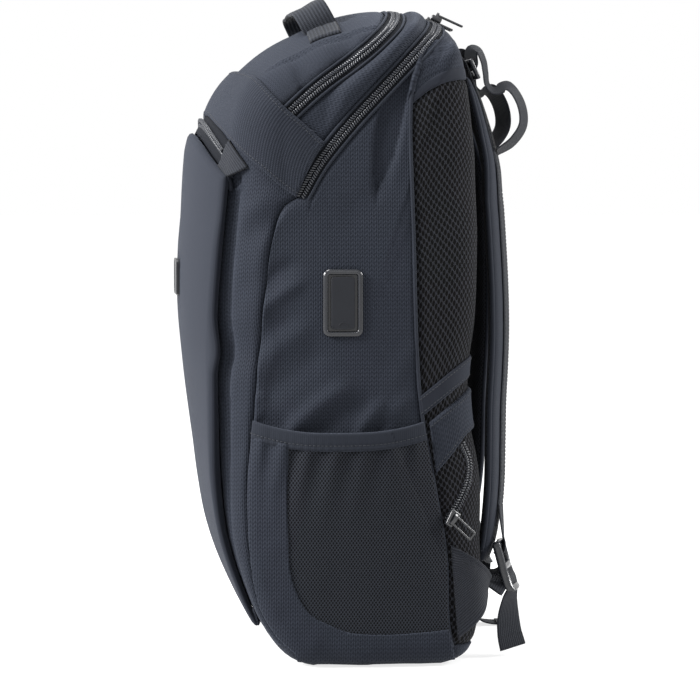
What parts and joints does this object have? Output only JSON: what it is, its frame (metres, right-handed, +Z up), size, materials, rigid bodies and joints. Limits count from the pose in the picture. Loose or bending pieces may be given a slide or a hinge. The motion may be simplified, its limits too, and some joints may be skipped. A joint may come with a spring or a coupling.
{
  "type": "laptop backpack",
  "caption": "Laptop backpack standing on its base, with a crowned front panel, arched zips over a sloped lid, mesh side pockets, a charging port and padded shoulder straps.",
  "frame": {"origin": "on the flat base, in the middle plane, below the body's centre", "axes": "+Z up, -Y out of the front panel, +Y towards the wearer's back, +X to the side with the charging port"},
  "size_m": [0.3236, 0.2795, 0.517],
  "materials": {
    "slate_cloth": "fine diagonal rib weave, dull sheen",
    "panel_cloth": "smooth tight weave over thin foam",
    "air_mesh": "open air mesh over foam",
    "ribbed_webbing": "ribbed woven webbing",
    "zip": "woven tape with a moulded coil",
    "zip_metal": "black lacquered casting",
    "plastic": "smooth moulding, low gloss",
    "port_cover": "satin moulding",
    "pocket_mesh": "stretch mesh with a cloth border",
    "strap_cloth": "smooth cloth outside, air mesh inside",
    "buckle_plastic": "moulded acetal"
  },
  "bodies": {
    "bag": {"side_panel_right": "slate_cloth", "side_panel_left": "slate_cloth", "lid_panel": "slate_cloth", "middle_gusset": "slate_cloth", "front_gusset": "slate_cloth", "saddle_band": "slate_cloth", "base_panel": "slate_cloth", "back_yoke": "slate_cloth", "back_trim": "slate_cloth", "front_panel": "panel_cloth", "back_pad": "air_mesh", "lumbar_pad": "air_mesh", "luggage_strap": "ribbed_webbing", "top_handle": "ribbed_webbing", "pocket_binding_right": "ribbed_webbing", "front_zip_end_right": "ribbed_webbing", "strap_wing_right": "ribbed_webbing", "load_lifter_right": "ribbed_webbing", "lifter_tail_right": "ribbed_webbing", "adjuster_webbing_right": "ribbed_webbing", "buckle_tab_right": "ribbed_webbing", "pocket_binding_left": "ribbed_webbing", "front_zip_end_left": "ribbed_webbing", "strap_wing_left": "ribbed_webbing", "load_lifter_left": "ribbed_webbing", "lifter_tail_left": "ribbed_webbing", "adjuster_webbing_left": "ribbed_webbing", "buckle_tab_left": "ribbed_webbing", "front_zip": "zip", "middle_zip": "zip", "rear_zip": "zip", "lumbar_zip": "zip", "front_zip_slider": "zip_metal", "middle_zip_slider": "zip_metal", "rear_zip_slider_left": "zip_metal", "rear_zip_slider_right": "zip_metal", "lumbar_zip_slider": "zip_metal", "front_badge": "plastic", "usb_bezel": "plastic", "side_pocket_right": "pocket_mesh", "side_pocket_left": "pocket_mesh", "shoulder_strap_right": "strap_cloth", "shoulder_strap_left": "strap_cloth", "lifter_ring_right": "buckle_plastic", "strap_buckle_right": "buckle_plastic", "lifter_ring_left": "buckle_plastic", "strap_buckle_left": "buckle_plastic"},
    "port_cover": {"usb_flap": "port_cover"}
  },
  "joints": [
    {"name": "port_cover_hinge", "type": "hinge", "parent": "bag", "child": "port_cover", "pos_m": [0.1534, -0.0185, 0.2965], "axis": [0, -1, 0], "range_deg": [0, 95]}
  ]
}
